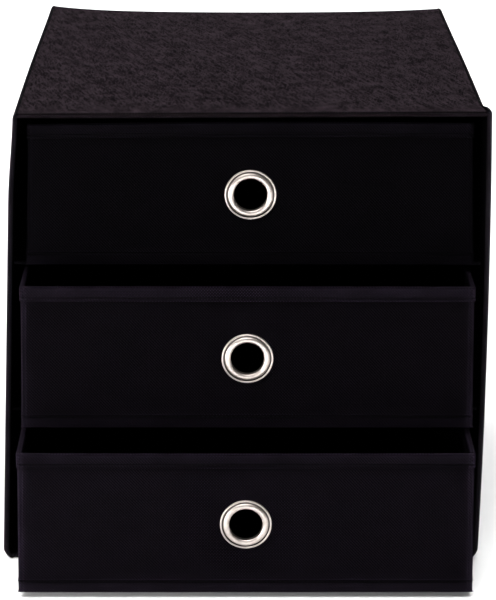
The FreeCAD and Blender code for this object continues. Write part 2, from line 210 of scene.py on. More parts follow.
def make_fabric(name, dye_and_painted_light, fibres=0.5, depth=0.00018, angle=-14, fibre_size=1.0, gloss=0.010):
    """Black non-woven cloth: a web of fine filaments with bond points pressed into it, which
    shine more. The mesh says where it is embossed, and where light is painted into the colour:
    painted highlights on folds and edges, painted shade in stitched creases and on inner faces."""
    fabric, tree, shader = new_finish(name, 0.8, gloss)
    plane = panel_plane(tree)
    embossed = own_value(tree, "embossed")
    points = diamond_emboss(tree, plane)
    web = None
    for turn, width, length in FIBRE_LAYERS:
        layer = fibre_layer(tree, plane, angle + turn, width * fibre_size, length * fibre_size)
        web = layer if web is None else math_node(tree, "MAXIMUM", web, layer)
    raised = math_node(tree, "MULTIPLY_ADD", points, 0.5, 0.5)
    dots = math_node(tree, "POWER", raised, BOND_SHARPNESS)
    dots = math_node(tree, "MULTIPLY", dots, BOND_BRIGHTNESS)
    strands = math_node(tree, "MULTIPLY_ADD", web, 2.2 * fibres, 1 - 0.8 * fibres)
    patches = noise_node(tree, plane, 0.7, 4.0, 0.6, "2D")
    tone = add_node(tree, "ShaderNodeMix", (embossed, None, strands, dots)).outputs[0]
    tone = math_node(tree, "MULTIPLY", tone, math_node(tree, "MULTIPLY_ADD", patches, 1.4, 0.3))
    # Painted light from the mesh: it brightens the colour for painted highlights and darkens it for
    # painted shade.
    painted_light_factor = math_node(tree, "ADD", 1.0, own_value(tree, "painted_lighting"))
    tone = math_node(tree, "MULTIPLY", tone, painted_light_factor)
    colour = add_node(tree, "ShaderNodeVectorMath", (dye_and_painted_light, None, None, tone), operation="SCALE")
    tree.links.new(colour.outputs[0], shader.inputs["Base Color"])
    shine = add_node(tree, "ShaderNodeMix", (embossed, None, 1.0, dots)).outputs[0]
    shine = math_node(tree, "MULTIPLY", shine, gloss)
    tree.links.new(shine, shader.inputs["Specular IOR Level"])
    pressed = math_node(tree, "MULTIPLY", points, embossed)
    bump_from(tree, shader, math_node(tree, "MULTIPLY_ADD", web, 0.5 * fibres, pressed), depth)
    return fabric


def make_thread():
    thread, tree, shader = new_finish("polyester_thread", 0.6, 0.05)
    twist = noise_node(tree, object_place(tree), 900.0, 2.0, 0.5)
    tone = tone_ramp(tree, twist, (0.0010, 0.0008, 0.0012), (0.0050, 0.0042, 0.0056))
    tree.links.new(tone, shader.inputs["Base Color"])
    return thread


def make_greyboard():
    board, tree, shader = new_finish("greyboard", 0.9, 0.2)
    pulp = noise_node(tree, object_place(tree), 420.0, 6.0, 0.7)
    tone = tone_ramp(tree, pulp, (0.14, 0.12, 0.10), (0.30, 0.27, 0.23), 0.3, 0.75)
    tree.links.new(tone, shader.inputs["Base Color"])
    bump_from(tree, shader, pulp, 0.0002, strength=0.4)
    return board


def make_satin_nickel(name, roughness):
    """Pressed and barrelled nickel: soft clouds of polish with fine random scratches. The mesh
    says where painted shade darkens it."""
    nickel, tree, shader = new_finish(name, roughness, 0.5, metallic=1.0)
    # Painted shade from the mesh darkens the colour.
    unshaded_share = math_node(tree, "SUBTRACT", 1.0, own_value(tree, "painted_groove_shade"))
    place = object_place(tree)
    clouds = noise_node(tree, place, 160.0, 3.0, 0.6)
    tone = tone_ramp(tree, clouds, (0.33, 0.29, 0.265), (0.44, 0.395, 0.37), 0.3, 0.7)
    colour = add_node(tree, "ShaderNodeVectorMath", (tone, None, None, unshaded_share), operation="SCALE")
    tree.links.new(colour.outputs[0], shader.inputs["Base Color"])
    limits = (0.3, 0.7, roughness + 0.08, roughness - 0.04)
    polish = add_node(tree, "ShaderNodeMapRange", (clouds, *limits))
    tree.links.new(polish.outputs[0], shader.inputs["Roughness"])
    grain = noise_node(tree, place, 2600.0, 2.0, 0.5)
    bump_from(tree, shader, grain, 0.00001, strength=0.1)
    return nickel


def make_pale_paper():
    paper, tree, shader = new_finish("pale_paper", 0.9, 0.1)
    grain = noise_node(tree, object_place(tree), 60.0, 2.0, 0.5)
    tone = tone_ramp(tree, grain, (0.90, 0.90, 0.90), (0.93, 0.93, 0.93))
    tree.links.new(tone, shader.inputs["Base Color"])
    return paper


# The three drawers are one cloth. Their dyes step down from the bottom drawer to the top one, which
# paints in shade that deepens upwards.
DRAWER_FABRICS = {
    "bottom": make_fabric("bottom_drawer_fabric", (0.0021, 0.0015, 0.0026)),
    "middle": make_fabric("middle_drawer_fabric", (0.0014, 0.0010, 0.0017)),
    "top": make_fabric("top_drawer_fabric", (0.0008, 0.0006, 0.0010)),
}
SIDE_FABRIC = make_fabric("case_side_fabric", (0.0040, 0.0033, 0.0044))
# The case top is the same cloth, with a dye about twice as pale as the sides', which paints in the
# sheen its fibres show at a grazing view.
TOP_FABRIC = make_fabric(
    "case_top_fabric", (0.0080, 0.0059, 0.0073),
    fibres=0.85, depth=0.00006, angle=-15, fibre_size=1.6, gloss=0.001,
)
SHELF_FABRIC = make_fabric("shelf_fabric", (0.0034, 0.0029, 0.0038))
FLOOR_FABRIC = make_fabric("drawer_floor_fabric", (0.0032, 0.0026, 0.0036))
THREAD = make_thread()
GREYBOARD = make_greyboard()
EYELET_NICKEL = make_satin_nickel("satin_nickel", 0.36)
WASHER_NICKEL = make_satin_nickel("washer_nickel", 0.34)


# ---------------------------------------------------------------- shaping


def cut_across(bm, axis, places):
    """Loops of edges right round the piece where its axis coordinate has each of the places."""
    normal = Vector((0, 0, 0))
    normal[axis] = 1
    for place in places:
        bmesh.ops.bisect_plane(
            bm, geom=bm.verts[:] + bm.edges[:] + bm.faces[:], dist=0.0001,
            plane_co=normal * place, plane_no=normal,
        )


def even_places(low, high, pitch):
    count = max(1, round((high - low) / pitch))
    return [low + (high - low) * step / count for step in range(1, count)]


def new_block(low, high):
    """A box between two corners."""
    bm = bmesh.new()
    size = Vector(high) - Vector(low)
    middle = (Vector(high) + Vector(low)) / 2
    placed = Matrix.Translation(middle) @ Matrix.Diagonal((*size, 1))
    bmesh.ops.create_cube(bm, size=1, matrix=placed)
    return bm


def round_off(bm, radius, wanted, segments):
    """Rounds each edge whose two ends wanted() accepts."""
    edges = [edge for edge in bm.edges if wanted(*(vert.co for vert in edge.verts))]
    bmesh.ops.bevel(
        bm, geom=edges, offset=radius, offset_type="OFFSET", affect="EDGES",
        segments=segments, profile=0.5, material=-1, clamp_overlap=True,
    )


def round_board_corners(bm, thin_axis):
    """Rounds the short edges of a board, which run along its thin axis."""
    round_off(
        bm, BOARD_CORNER, lambda a, b: abs(a[thin_axis] - b[thin_axis]) > 0.5, segments=3
    )


def lay_out_fabric(bm, embossed=1.0):
    """Lays each face flat along its own panel's plane, in centimetres, and gives each point the
    values that the fabric reads."""
    layer = bm.loops.layers.uv.new("panel")
    # Each point's painted highlight or painted shade, none unless a piece sets it.
    bm.verts.layers.float.new("painted_lighting")
    strength = bm.verts.layers.float.new("embossed")
    bm.normal_update()
    for vert in bm.verts:
        vert[strength] = embossed
    for face in bm.faces:
        facing = max(range(3), key=lambda axis: abs(face.normal[axis]))
        first, second = [axis for axis in range(3) if axis != facing]
        for loop in face.loops:
            place = loop.vert.co
            loop[layer].uv = (place[first] / MM_PER_CM, place[second] / MM_PER_CM)


def finish_piece(bm, name, finish, body, node=None, sharp=50):
    """Scales the placed piece to metres, and lets it ride on its body."""
    bmesh.ops.transform(bm, matrix=Matrix.Diagonal((MM, MM, MM, 1)), verts=bm.verts)
    mesh = bpy.data.meshes.new(name)
    bm.to_mesh(mesh)
    bm.free()
    mesh.shade_smooth()
    mesh.set_sharp_from_angle(angle=math.radians(sharp))
    mesh.materials.append(finish)
    piece = bpy.data.objects.new(name, mesh)
    bpy.context.scene.collection.objects.link(piece)
    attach(piece, body)
    if node:
        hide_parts(node)
    return piece


def smooth_step(low, high, value):
    share = min(1, max(0, (value - low) / (high - low)))
    return share * share * (3 - 2 * share)


def ridge(value, place, spread):
    """1 at the place, and down to nothing a few spreads away from it."""
    return math.exp(-(((value - place) / spread) ** 2))


def ripple(seed, across, up, reach):
    """Slow unevenness of a cloth face, from about -1 to 1."""
    return noise.noise(Vector((across / reach + 17 * seed, up / reach - 9 * seed, 3.1 * seed)))


# ---------------------------------------------------------------- drawer walls


def wall_stand_out(height):
    """How far the wall's outer face stands out at a height: foot, stitched crease, fold and hem."""
    if height < FOOT_ROUND:
        short = FOOT_ROUND - height
        return math.sqrt(max(0, FOOT_ROUND**2 - short**2)) - FOOT_ROUND
    crease = 0.2 * ridge(height, LOWER_SEAM + 1.4, 0.5) - 0.6 * ridge(height, LOWER_SEAM, 0.55)
    hem = HEM_PROUD * smooth_step(HEM_FOOT - 0.15, HEM_FOOT + 0.25, height)
    return crease + hem - 0.55 * ridge(height, HEM_SEAM, 0.5)


def wall_painted_lighting(from_corner, height, settled):
    """Painted light on a wall's outer face: painted highlights on its corner folds, hem, rim and
    the fold above the lower seam, a paler band below that seam, and painted shade in its
    stitched creases and along the hem's lower edge."""
    # Painted highlights on the hem, the rim and the corner folds, with a darker gap between the two
    # fold lines, and a paler foot band.
    pale = settled.hem_share * smooth_step(HEM_FOOT, HEM_FOOT + 0.4, height)
    pale += 0.6 * smooth_step(WALL_HEIGHT - 4.5, WALL_HEIGHT - 0.3, height)
    pale += 0.8 * (1 - smooth_step(LOWER_SEAM - 0.8, LOWER_SEAM - 0.3, height))
    pale += 1.3 * ridge(height, LOWER_SEAM + 1.5, 0.5) + 0.4 * ridge(height, HEM_FOOT + 1.2, 0.7)
    folds = 4.5 * ridge(from_corner, 0.5, 1.0) + 3.2 * ridge(from_corner, 3.0, 0.75)
    folds -= 0.8 * ridge(from_corner, 1.9, 0.4)
    pale += folds * settled.fold_share
    # Painted shade in the stitched creases and under the hem's lower edge.
    pale -= 3.4 * ridge(height, LOWER_SEAM, 0.8) + 3.0 * ridge(height, HEM_SEAM, 0.75)
    pale -= 2.4 * ridge(height, HEM_FOOT - 0.3, 0.6)
    return max(-0.95, pale)


def rim_draw_in(height):
    """How far both faces draw in towards the rim's rounded top."""
    rise = height - (WALL_HEIGHT - RIM_ROUND)
    return RIM_ROUND - math.sqrt(max(0, RIM_ROUND**2 - rise**2)) if rise > 0 else 0


def open_eyelet_hole(bm, half_patch, near, far):
    """Cuts a round hole through a wall or its board, inside a square patch of both faces."""
    rings = []
    for depth in (near, far):
        middle = Vector((0, depth, EYELET_RISE))
        patch = []
        for face in bm.faces:
            away = face.calc_center_median() - middle
            if max(abs(away.x), abs(away.z)) < half_patch and abs(away.y) < 0.1:
                patch.append(face)
        inside = set(patch)
        edges = {edge for face in patch for edge in face.edges}
        rim = [edge for edge in edges if not inside.issuperset(edge.link_faces)]
        bmesh.ops.delete(bm, geom=patch, context="FACES")
        upright = Matrix.Translation(middle) @ Matrix.Rotation(math.pi / 2, 4, "X")
        made = bmesh.ops.create_circle(
            bm, segments=len(rim), radius=EYELET_HOLE, matrix=upright
        )
        ring = list({edge for vert in made["verts"] for edge in vert.link_edges})
        bmesh.ops.bridge_loops(bm, edges=rim + ring)
        rings += ring
    bmesh.ops.bridge_loops(bm, edges=rings)


# Where a wall's blank has its loops of edges: in from its two ends, and up to and beyond the
# eyelet's patch. They lie closest at the corner's fold, the crease, the hem and the rim.
EYELET_PATCH = 20
CORNER_LOOPS = (0.5, 1, 1.5, 2, 2.6, 3.1, 3.5, 3.9, 4.5, 5.2)
FOOT_LOOPS = (
    0.15, 0.4, 0.7, FOOT_ROUND, 3, 5.5, 6.8, 7.3, 7.65, 8, 8.35, 8.7, 9.1, 9.5, 10.1, 11, 14,
    20, 25,
)
HEAD_LOOPS = (
    74, 79, 84, 86.5, 87.8, 88.2, 88.5, 88.65, 88.8, 88.95, 89.1, 89.5, 90.1, 90.7, 91.1, 91.5,
    91.9, 92.3, 93, 94.5, 96, 97, 97.6, 98.0, 98.35, 98.6, 98.8, 98.93,
)
# Each kind of blank is cut once and copied from then on.
WALL_BLANKS = {}


def wall_blank(span, turns_corners, eyelet):
    """A wall's flat blank in its own frame: x along it, y in from its face, z up. It has all its
    loops of edges, its rounded corners and its eyelet hole, and is laid out on the fabric."""
    key = (round(span, 3), turns_corners, eyelet)
    if key in WALL_BLANKS:
        return WALL_BLANKS[key].copy()
    bm = new_block((-span / 2, 0, 0), (span / 2, WALL, WALL_HEIGHT))
    if turns_corners:
        round_off(
            bm, CORNER_ROUND,
            lambda a, b: abs(a.z - b.z) > 1 and a.y < 0.1 and b.y < 0.1, segments=5,
        )
    across = even_places(-span / 2, span / 2, 6)
    if eyelet:
        across = [place for place in across if abs(place) > EYELET_PATCH + 2]
        across += [-EYELET_PATCH, EYELET_PATCH] + even_places(-EYELET_PATCH, EYELET_PATCH, 5)
    across += [side * (span / 2 - inset) for side in (-1, 1) for inset in CORNER_LOOPS]
    cut_across(bm, 0, across)
    patch_low, patch_high = EYELET_RISE - EYELET_PATCH, EYELET_RISE + EYELET_PATCH
    patch_loops = [patch_low, *even_places(patch_low, patch_high, 5), patch_high]
    cut_across(bm, 2, [*FOOT_LOOPS, *patch_loops, *HEAD_LOOPS])
    if eyelet:
        open_eyelet_hole(bm, EYELET_PATCH, 0, WALL)
    lay_out_fabric(bm)
    WALL_BLANKS[key] = bm
    return bm.copy()


def shape_wall(span, turns_corners, eyelet, seed, settled):
    """Gives a wall's blank its hem, crease, rounded rim and foot, and the swell of its board."""
    bm = wall_blank(span, turns_corners, eyelet)
    painted_lighting = bm.verts.layers.float["painted_lighting"]
    fold = span / 2 - BOARD_EDGE
    corner = span / 2 - CORNER_ROUND
    for vert in bm.verts:
        x, y, z = vert.co
        from_end = span / 2 - abs(x)
        flat = 1.0
        if eyelet:
            flat = smooth_step(*FLAT_ROUND_EYELET, math.hypot(x, z - EYELET_RISE))
        body = smooth_step(10, 26, z) * smooth_step(2, 16, HEM_FOOT - z)
        body = body * smooth_step(0, 16, from_end) * flat
        swell = (0.35 + 0.22 * ripple(seed, x, z, 60)) * body
        drift = 0.10 * ripple(seed + 5, x, z, 22)
        drift = drift * smooth_step(9, 14, z) * smooth_step(0, 6, HEM_FOOT - z) * flat
        fold_line = -0.16 * ridge(abs(x), fold, 0.8) if turns_corners else 0
        draw_in = rim_draw_in(z)
        if y > WALL - 0.01:
            vert.co.y -= draw_in + 0.3 * swell
            # Painted highlight along the inner side of the rounded rim.
            vert[painted_lighting] = 1.2 * smooth_step(WALL_HEIGHT - 2, WALL_HEIGHT - 0.3, z)
            continue
        # The outer face gets the wall's painted highlights and painted shade.
        vert[painted_lighting] = wall_painted_lighting(from_end if turns_corners else 50, z, settled)
        stand_out = wall_stand_out(z) - draw_in
        if turns_corners and abs(x) > corner - 0.01 and y > 0.01:
            away = Vector((abs(x) - corner, min(0, y - CORNER_ROUND)))
            away.normalize()
            vert.co.x += math.copysign(away.x * stand_out, x)
            vert.co.y += away.y * stand_out
        else:
            vert.co.y -= stand_out + swell + drift + fold_line
            if turns_corners and abs(x) > span / 2 - 0.01:
                vert.co.x += math.copysign(stand_out, x)
    return bm


def shape_wall_board(span, eyelet):
    """The greyboard in a wall's pocket, in the wall's frame, with the eyelet's hole through it."""
    reach = span / 2 - BOARD_EDGE - 0.1
    bm = new_block((-reach, CLOTH, BOARD_FOOT), (reach, WALL - CLOTH, BOARD_HEAD))
    round_board_corners(bm, 1)
    patch = 16
    cut_across(
        bm, 0, [-patch, patch] + even_places(-patch, patch, 8) + even_places(-reach, reach, 30)
    )
    halves = (-2, -1, 0, 1, 2)
    cut_across(bm, 2, [EYELET_RISE + step * patch / 2 for step in halves] + [22, 78])
    if eyelet:
        open_eyelet_hole(bm, patch, CLOTH, WALL - CLOTH)
    return bm


def sew_along(span, places):
    """Rows of thread stitches along x, each stitch a small bead at each of the (y, z) places."""
    bm = bmesh.new()
    reach = span - 2 * SEAM_END
    count = int(reach // STITCH_PITCH)
    step = reach / count
    thread = THREAD_THICKNESS / 2
    for y, z in places:
        place = Matrix.Translation(((step - reach) / 2, y, z))
        bead = place @ Matrix.Diagonal((STITCH_LENGTH / 2, thread, thread, 1))
        turned = bead @ Matrix.Rotation(math.pi / 2, 4, "Y")
        bmesh.ops.create_uvsphere(bm, u_segments=6, v_segments=4, radius=1, matrix=turned)
    size = len(bm.verts)
    made = 1
    while made < count:
        more = min(made, count - made)
        verts = bm.verts[: more * size]
        edges = {edge for vert in verts for edge in vert.link_edges}
        faces = {face for vert in verts for face in vert.link_faces}
        copy = bmesh.ops.duplicate(bm, geom=verts + list(edges) + list(faces))
        fresh = [item for item in copy["geom"] if isinstance(item, bmesh.types.BMVert)]
        bmesh.ops.translate(bm, verts=fresh, vec=(made * step, 0, 0))
        made += more
    for vert in bm.verts:
        number = round(vert.co.x / step)
        uneven = noise.noise(Vector((number * 1.7, 0.3, round(vert.co.z) * 0.37)))
        vert.co.z += 0.12 * uneven
    return bm


def wall_stitch_places():
    """Across a wall's outer face at the foot and the hem, and inside at the hem, as (y, z)."""
    return [(0.35, LOWER_SEAM), (-HEM_PROUD + 0.35, HEM_SEAM), (WALL + 0.02, HEM_SEAM)]


# ---------------------------------------------------------------- eyelets


def arc_points(centre, radius, start, end, steps):
    """Points on an arc in the eyelet's section, angles in degrees."""
    points = []
    for step in range(steps + 1):
        angle = math.radians(start + (end - start) * step / steps)
        across, along = radius * math.cos(angle), radius * math.sin(angle)
        points.append((centre[0] + across, centre[1] + along))
    return points


def turn_section(section):
    """Turns a closed section of (radius, depth) points about the bore."""
    bm = bmesh.new()
    verts = [bm.verts.new((ring, depth, 0)) for ring, depth in section]
    edges = [bm.edges.new(pair) for pair in zip(verts, verts[1:] + verts[:1])]
    bmesh.ops.spin(
        bm, geom=verts + edges, cent=(0, 0, 0), axis=(0, 1, 0), angle=2 * math.pi, steps=96,
        use_merge=True,
    )
    bmesh.ops.remove_doubles(bm, verts=bm.verts, dist=0.0005)
    bmesh.ops.recalc_face_normals(bm, faces=bm.faces)
    return bm


def shape_eyelet():
    """The pressed ring with its barrel, turned about the bore. Section points are (radius, depth),
    depth counted in from the wall's face. The groove gets painted shade, most at its low side."""
    half = RING_WIDTH / 2
    radius = (half**2 + RING_CROWN**2) / (2 * RING_CROWN)
    centre = (EYELET_BORE + half, radius - RING_CROWN - RING_LIFT)
    reach = math.degrees(math.asin(half / radius))
    groove = EYELET_BORE + RING_WIDTH
    bead = groove + GROOVE_WIDTH
    section = arc_points(centre, radius, 270 - reach + 8, 270 + reach, 16)
    section += [(groove + 0.05, -0.5), (groove + 0.1, -0.22), (groove + 0.4, -0.12)]
    section += [(bead - 0.08, -0.2), (bead, -0.35)]
    section += arc_points((bead + BEAD_RADIUS, -0.4), BEAD_RADIUS, 190, 360, 10)[1:]
    section += [(bead + 2 * BEAD_RADIUS, -0.02), (bead + 1.2, 0.0)]
    section += [(BARREL_OUTER, 0.0), (BARREL_OUTER, BARREL_END)]
    section += arc_points((BARREL_OUTER, BARREL_END), ROLL_RADIUS, 0, 90, 6)
    section += [(11.3, 4.72), (11.08, 4.55), (EYELET_BORE, 4.3), (EYELET_BORE, 2.0)]
    section += [(EYELET_BORE, 0.0), (11.02, -0.55)]
    bm = turn_section(section)
    painted_groove_shade = bm.verts.layers.float.new("painted_groove_shade")
    for vert in bm.verts:
        out = math.hypot(vert.co.x, vert.co.z)
        low_side = 0.5 - 0.5 * vert.co.z / out
        in_groove = smooth_step(groove - 0.25, groove + 0.05, out)
        in_groove *= smooth_step(bead + 0.2, bead - 0.02, out)
        # Painted shade in the groove, deeper at its low side.
        vert[painted_groove_shade] = (0.75 + 0.22 * low_side) * in_groove
    return bm


def shape_washer():
    """The flat ring behind the wall, over which the eyelet's barrel is rolled."""
    inner, width, thickness = WASHER
    front, behind, outer = WALL, WALL + thickness, inner + width
    section = [(inner, front), (inner, behind - 0.1), (inner + 0.1, behind)]
    section += arc_points((outer - 0.4, behind - 0.4), 0.4, 90, 0, 4) + [(outer, front)]
    return turn_section(section)


# ---------------------------------------------------------------- flat panels


def front_long_edges(a, b):
    """The long edges at a panel's front."""
    return a.y < 0.01 and b.y < 0.01 and abs(a.x - b.x) > 1


def outer_cross_edges(a, b):
    """The edges across a panel's outer face, at both its ends."""
    return a.z < 0.01 and b.z < 0.01 and abs(a.x - b.x) > 1


def insert_top_edges(a, b):
    """The edges round an insert's upper face."""
    return a.z > 2.7 and b.z > 2.7


def outer_long_edges(width, length):
    """The edges of a side panel that show as the cube's own corners."""
    def at_end(place):
        return abs(abs(place.x) - width / 2) < 0.01

    def wanted(a, b):
        on_face = a.z < 0.01 and b.z < 0.01
        ends = at_end(a) and at_end(b) and abs(a.y - b.y) > 1
        rear = a.y > length - 0.01 and b.y > length - 0.01
        return on_face and (ends or rear)
    return wanted


def shape_panel(
    width, length, thickness, rounded, front_round, seed, swell=0.35, embossed=1.0, painted_edge_light=0.0
):
    """A flat sewn pocket in its own frame: x across, y back from the front edge, z in from its
    outer face. rounded says which outer edges are rounded off more, and by how much. Its front
    edge gets a painted highlight towards the outer face, of the strength given (painted shade
    where that is below zero), and its inner face gets painted shade."""
    bm = new_block((-width / 2, 0, 0), (width / 2, length, thickness))
    for radius, wanted in rounded:
        round_off(bm, radius, wanted, segments=6)
    if front_round:
        round_off(bm, front_round, front_long_edges, segments=5)
    borders = [side * (width / 2 - inset) for side in (-1, 1) for inset in (3, 6, 10)]
    cut_across(bm, 0, even_places(-width / 2, width / 2, 8) + borders)
    cut_across(bm, 1, even_places(0, length, 8) + [2, 3, 6, length - 6, length - 3])
    lay_out_fabric(bm, embossed)
    strength = bm.verts.layers.float["embossed"]
    painted_lighting = bm.verts.layers.float["painted_lighting"]
    for vert in bm.verts:
        x, y, z = vert.co
        border = min(width / 2 - abs(x), y, length - y)
        if front_round:
            on_edge = 1 - smooth_step(1.4, 2.2, y)
            vert[strength] = max(embossed, on_edge)
            inwards = z / thickness
            # Painted light on the front edge: a painted highlight on its outer part, painted shade
            # on its inner part and over the inner face.
            edge_painted_light = painted_edge_light * (1 - smooth_step(0.5, 0.9, inwards))
            edge_painted_light -= 0.9 * smooth_step(0.6, 1, inwards)
            inner_painted_shade = 0.85 * (1 - on_edge) * smooth_step(0.5, 0.9, inwards)
            vert[painted_lighting] = edge_painted_light * on_edge - inner_painted_shade
        rise = swell * (0.6 + 0.6 * ripple(seed, x, y, 70)) + 0.12 * ripple(seed + 3, x, y, 26)
        rise *= smooth_step(2, 22, border)
        if z < thickness / 2:
            vert.co.z -= rise
        else:
            vert.co.z += 0.35 * rise
    return bm


def panel_board(width, length, thickness):
    """The corners of a panel's board, inside its seams and its two layers of fabric."""
    return (
        (PANEL_SEAM - width / 2, PANEL_SEAM, CLOTH),
        (width / 2 - PANEL_SEAM, length - PANEL_SEAM, thickness - CLOTH),
    )


# ---------------------------------------------------------------- case


top_low, top_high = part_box("case_top_cover")
INNER_WIDTH = (top_high.x - top_low.x) / MM
INNER_DEPTH = (top_high.y - top_low.y) / MM
FRONT = top_low.y / MM
CUBE = top_high.z / MM
HALF_CUBE = -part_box("case_left_cover")[0].x / MM
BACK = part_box("case_back_cover")[1].y / MM
FULL_DEPTH = BACK - FRONT

# How the soft case has settled, in millimetres. Each side leans in at its top, and more so at
# the rear, and swings out towards its foot, where its lower edge curls in. The top sags in its
# middle, droops at the front and stands up at its rear corners.
CASE_FRONT_ROUND = 1.65
LEFT_LEAN, LEFT_REAR_LEAN, LEFT_FOOT_OUT, LEFT_HEAD_IN, LEFT_CURL = 5.0, 3.5, 7.6, 2.0, 3.0
RIGHT_LEAN, RIGHT_REAR_LEAN, RIGHT_BELLY, RIGHT_FOOT_OUT, RIGHT_CURL = 3.2, 2.8, 7.6, 0.8, 2.4
TOP_SAG, FRONT_DROOP, DROOP_SKEW = 2.0, 2.9, 0.9
LEFT_CORNER_UP, RIGHT_CORNER_UP = 3.0, 1.4
RIGHT_EAR = 1.8


def settle_case(bm, placement):
    """Puts a case panel in place and lets the soft case lean, sag and droop as a whole."""
    bmesh.ops.transform(bm, matrix=placement, verts=bm.verts)
    for vert in bm.verts:
        x, y, z = vert.co
        share, rise = x / HALF_CUBE, z / CUBE
        rear, head = smooth_step(FRONT, BACK, y), smooth_step(0.8, 1, rise)
        curl = smooth_step(7, 0, z) if z < 7 else 0
        if share < 0:
            inward = (LEFT_LEAN + LEFT_REAR_LEAN * rear) * rise - LEFT_FOOT_OUT * (1 - rise)
            inward = inward + LEFT_HEAD_IN * head + LEFT_CURL * curl
        else:
            behind_ear = smooth_step(FRONT + 2, FRONT + 22, y)
            inward = (RIGHT_LEAN + RIGHT_REAR_LEAN * rear) * rise * behind_ear
            inward = inward - RIGHT_BELLY * rise * (1 - rise) - RIGHT_FOOT_OUT * (1 - rise)
            inward = inward + RIGHT_CURL * curl
        vert.co.x -= inward * share * abs(share)
        sag = TOP_SAG * (1 - share * share) * rear
        corners = LEFT_CORNER_UP * max(0, -share) ** 5 * rear
        corners += RIGHT_CORNER_UP * max(0, share) ** 5 * rear
        droop = (FRONT_DROOP - DROOP_SKEW * share) * (1 - rear) ** 3
        vert.co.z -= (sag + droop - corners) * head


def add_case_panel(label, finish, bm, size, placement):
    """A panel of the case with its greyboard, which bends with it. size is the panel's width,
    length and thickness."""
    settle_case(bm, placement)
    finish_piece(bm, f"{label}_panel", finish, "case", f"{label}_cover")
    low, high = panel_board(*size)
    board = new_block(low, high)
    round_board_corners(board, 2)
    for axis in (0, 1):
        cut_across(board, axis, even_places(low[axis], high[axis], 16))
    settle_case(board, placement)
    finish_piece(board, f"{label}_stiffener", GREYBOARD, "case", f"{label}_board")


def add_case_side(name, direction, painted_edge_light):
    size = (CUBE, FULL_DEPTH, CASE_PANEL)
    rounded = [(3.2, outer_long_edges(CUBE, FULL_DEPTH))]
    side = shape_panel(
        *size, rounded, CASE_FRONT_ROUND, seed=2 + direction, painted_edge_light=painted_edge_light
    )
    if name == "right":
        for vert in side.verts:
            up = smooth_step(150, 159, vert.co.x) * smooth_step(20, 5, vert.co.y)
            vert.co.x += RIGHT_EAR * up
    position = Matrix.Translation((direction * HALF_CUBE, FRONT, CUBE / 2))
    placement = position @ Matrix.Rotation(-direction * math.pi / 2, 4, "Y")
    add_case_panel(f"case_{name}", SIDE_FABRIC, side, size, placement)


def add_shelf(name):
    low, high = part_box(f"{name}_shelf_cover")
    size = ((high.x - low.x) / MM, (high.y - low.y) / MM, SHELF_PANEL)
    shelf = shape_panel(*size, [], 1.5, seed=13, swell=0)
    placement = Matrix.Translation((0, low.y / MM, low.z / MM - SHELF_SAG[name]))
    add_case_panel(f"{name}_shelf", SHELF_FABRIC, shelf, size, placement)


def add_case():
    # The sides' front edges get painted highlights, the right one's stronger.
    add_case_side("left", -1, painted_edge_light=1.1)
    add_case_side("right", 1, painted_edge_light=2.5)

    size = (INNER_WIDTH, INNER_DEPTH, CASE_PANEL)
    # The top's rounded front edge gets painted shade.
    top = shape_panel(
        *size, [], CASE_FRONT_ROUND, seed=7, swell=0.5, embossed=0.06, painted_edge_light=-0.4
    )
    placement = Matrix.Translation((0, FRONT, CUBE)) @ Matrix.Rotation(math.pi, 4, "Y")
    add_case_panel("case_top", TOP_FABRIC, top, size, placement)

    base = shape_panel(*size, [], CASE_FRONT_ROUND, seed=9, swell=0)
    placement = Matrix.Translation((0, FRONT, 0))
    add_case_panel("case_base", SIDE_FABRIC, base, size, placement)

    size = (INNER_WIDTH, CUBE, CASE_PANEL)
    back = shape_panel(*size, [(1.6, outer_cross_edges)], 0, seed=11)
    placement = Matrix.Translation((0, BACK, 0)) @ Matrix.Rotation(math.pi / 2, 4, "X")
    add_case_panel("case_back", SIDE_FABRIC, back, size, placement)

    add_shelf("lower")
    add_shelf("upper")


# ---------------------------------------------------------------- drawers


HALF_DRAWER = (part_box("top_drawer_base_cover")[1].x / MM) + WALL


def add_drawer_piece(bm, label, finish, placement, body, node=None, sharp=50):
    """Puts a piece of a drawer in its place, and lets it settle with the soft drawer."""
    settled = DRAWERS[body.removesuffix("_drawer")]
    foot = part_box(f"{body}_base_cover")[0].z / MM
    bmesh.ops.transform(bm, matrix=placement, verts=bm.verts)
    for vert in bm.verts:
        share = vert.co.x / HALF_DRAWER
        rise = (vert.co.z - foot) / WALL_HEIGHT
        pinch = settled.foot_pinch + (settled.rim_pinch - settled.foot_pinch) * rise
        droop = settled.left_droop * (0.5 - share / 2) ** 2
        droop += settled.right_droop * (0.5 + share / 2) ** 2
        vert.co.x += settled.aside - pinch * share * abs(share) ** 3
        vert.co.z -= settled.down + rise * droop
    return finish_piece(bm, f"{body}_{label}", finish, body, node, sharp)


def add_drawer_walls(name, body, walls, seed):
    """Each wall's cloth, its board and its rows of stitches."""
    for number, (wall, span, turns_corners, position, angle) in enumerate(walls):
        turn = Matrix.Rotation(math.radians(angle), 4, "Z")
        placement = Matrix.Translation(position) @ turn
        eyelet = wall == "front"
        cloth = shape_wall(span, turns_corners, eyelet, seed + number, DRAWERS[name])
        add_drawer_piece(
            cloth, f"{wall}_wall", DRAWER_FABRICS[name], placement, body,
            f"{body}_{wall}_cover",
        )
        add_drawer_piece(
            shape_wall_board(span, eyelet), f"{wall}_stiffener", GREYBOARD, placement, body,
            f"{body}_{wall}_board",
        )
        stitches = sew_along(span, wall_stitch_places())
        add_drawer_piece(stitches, f"{wall}_stitching", THREAD, placement, body)


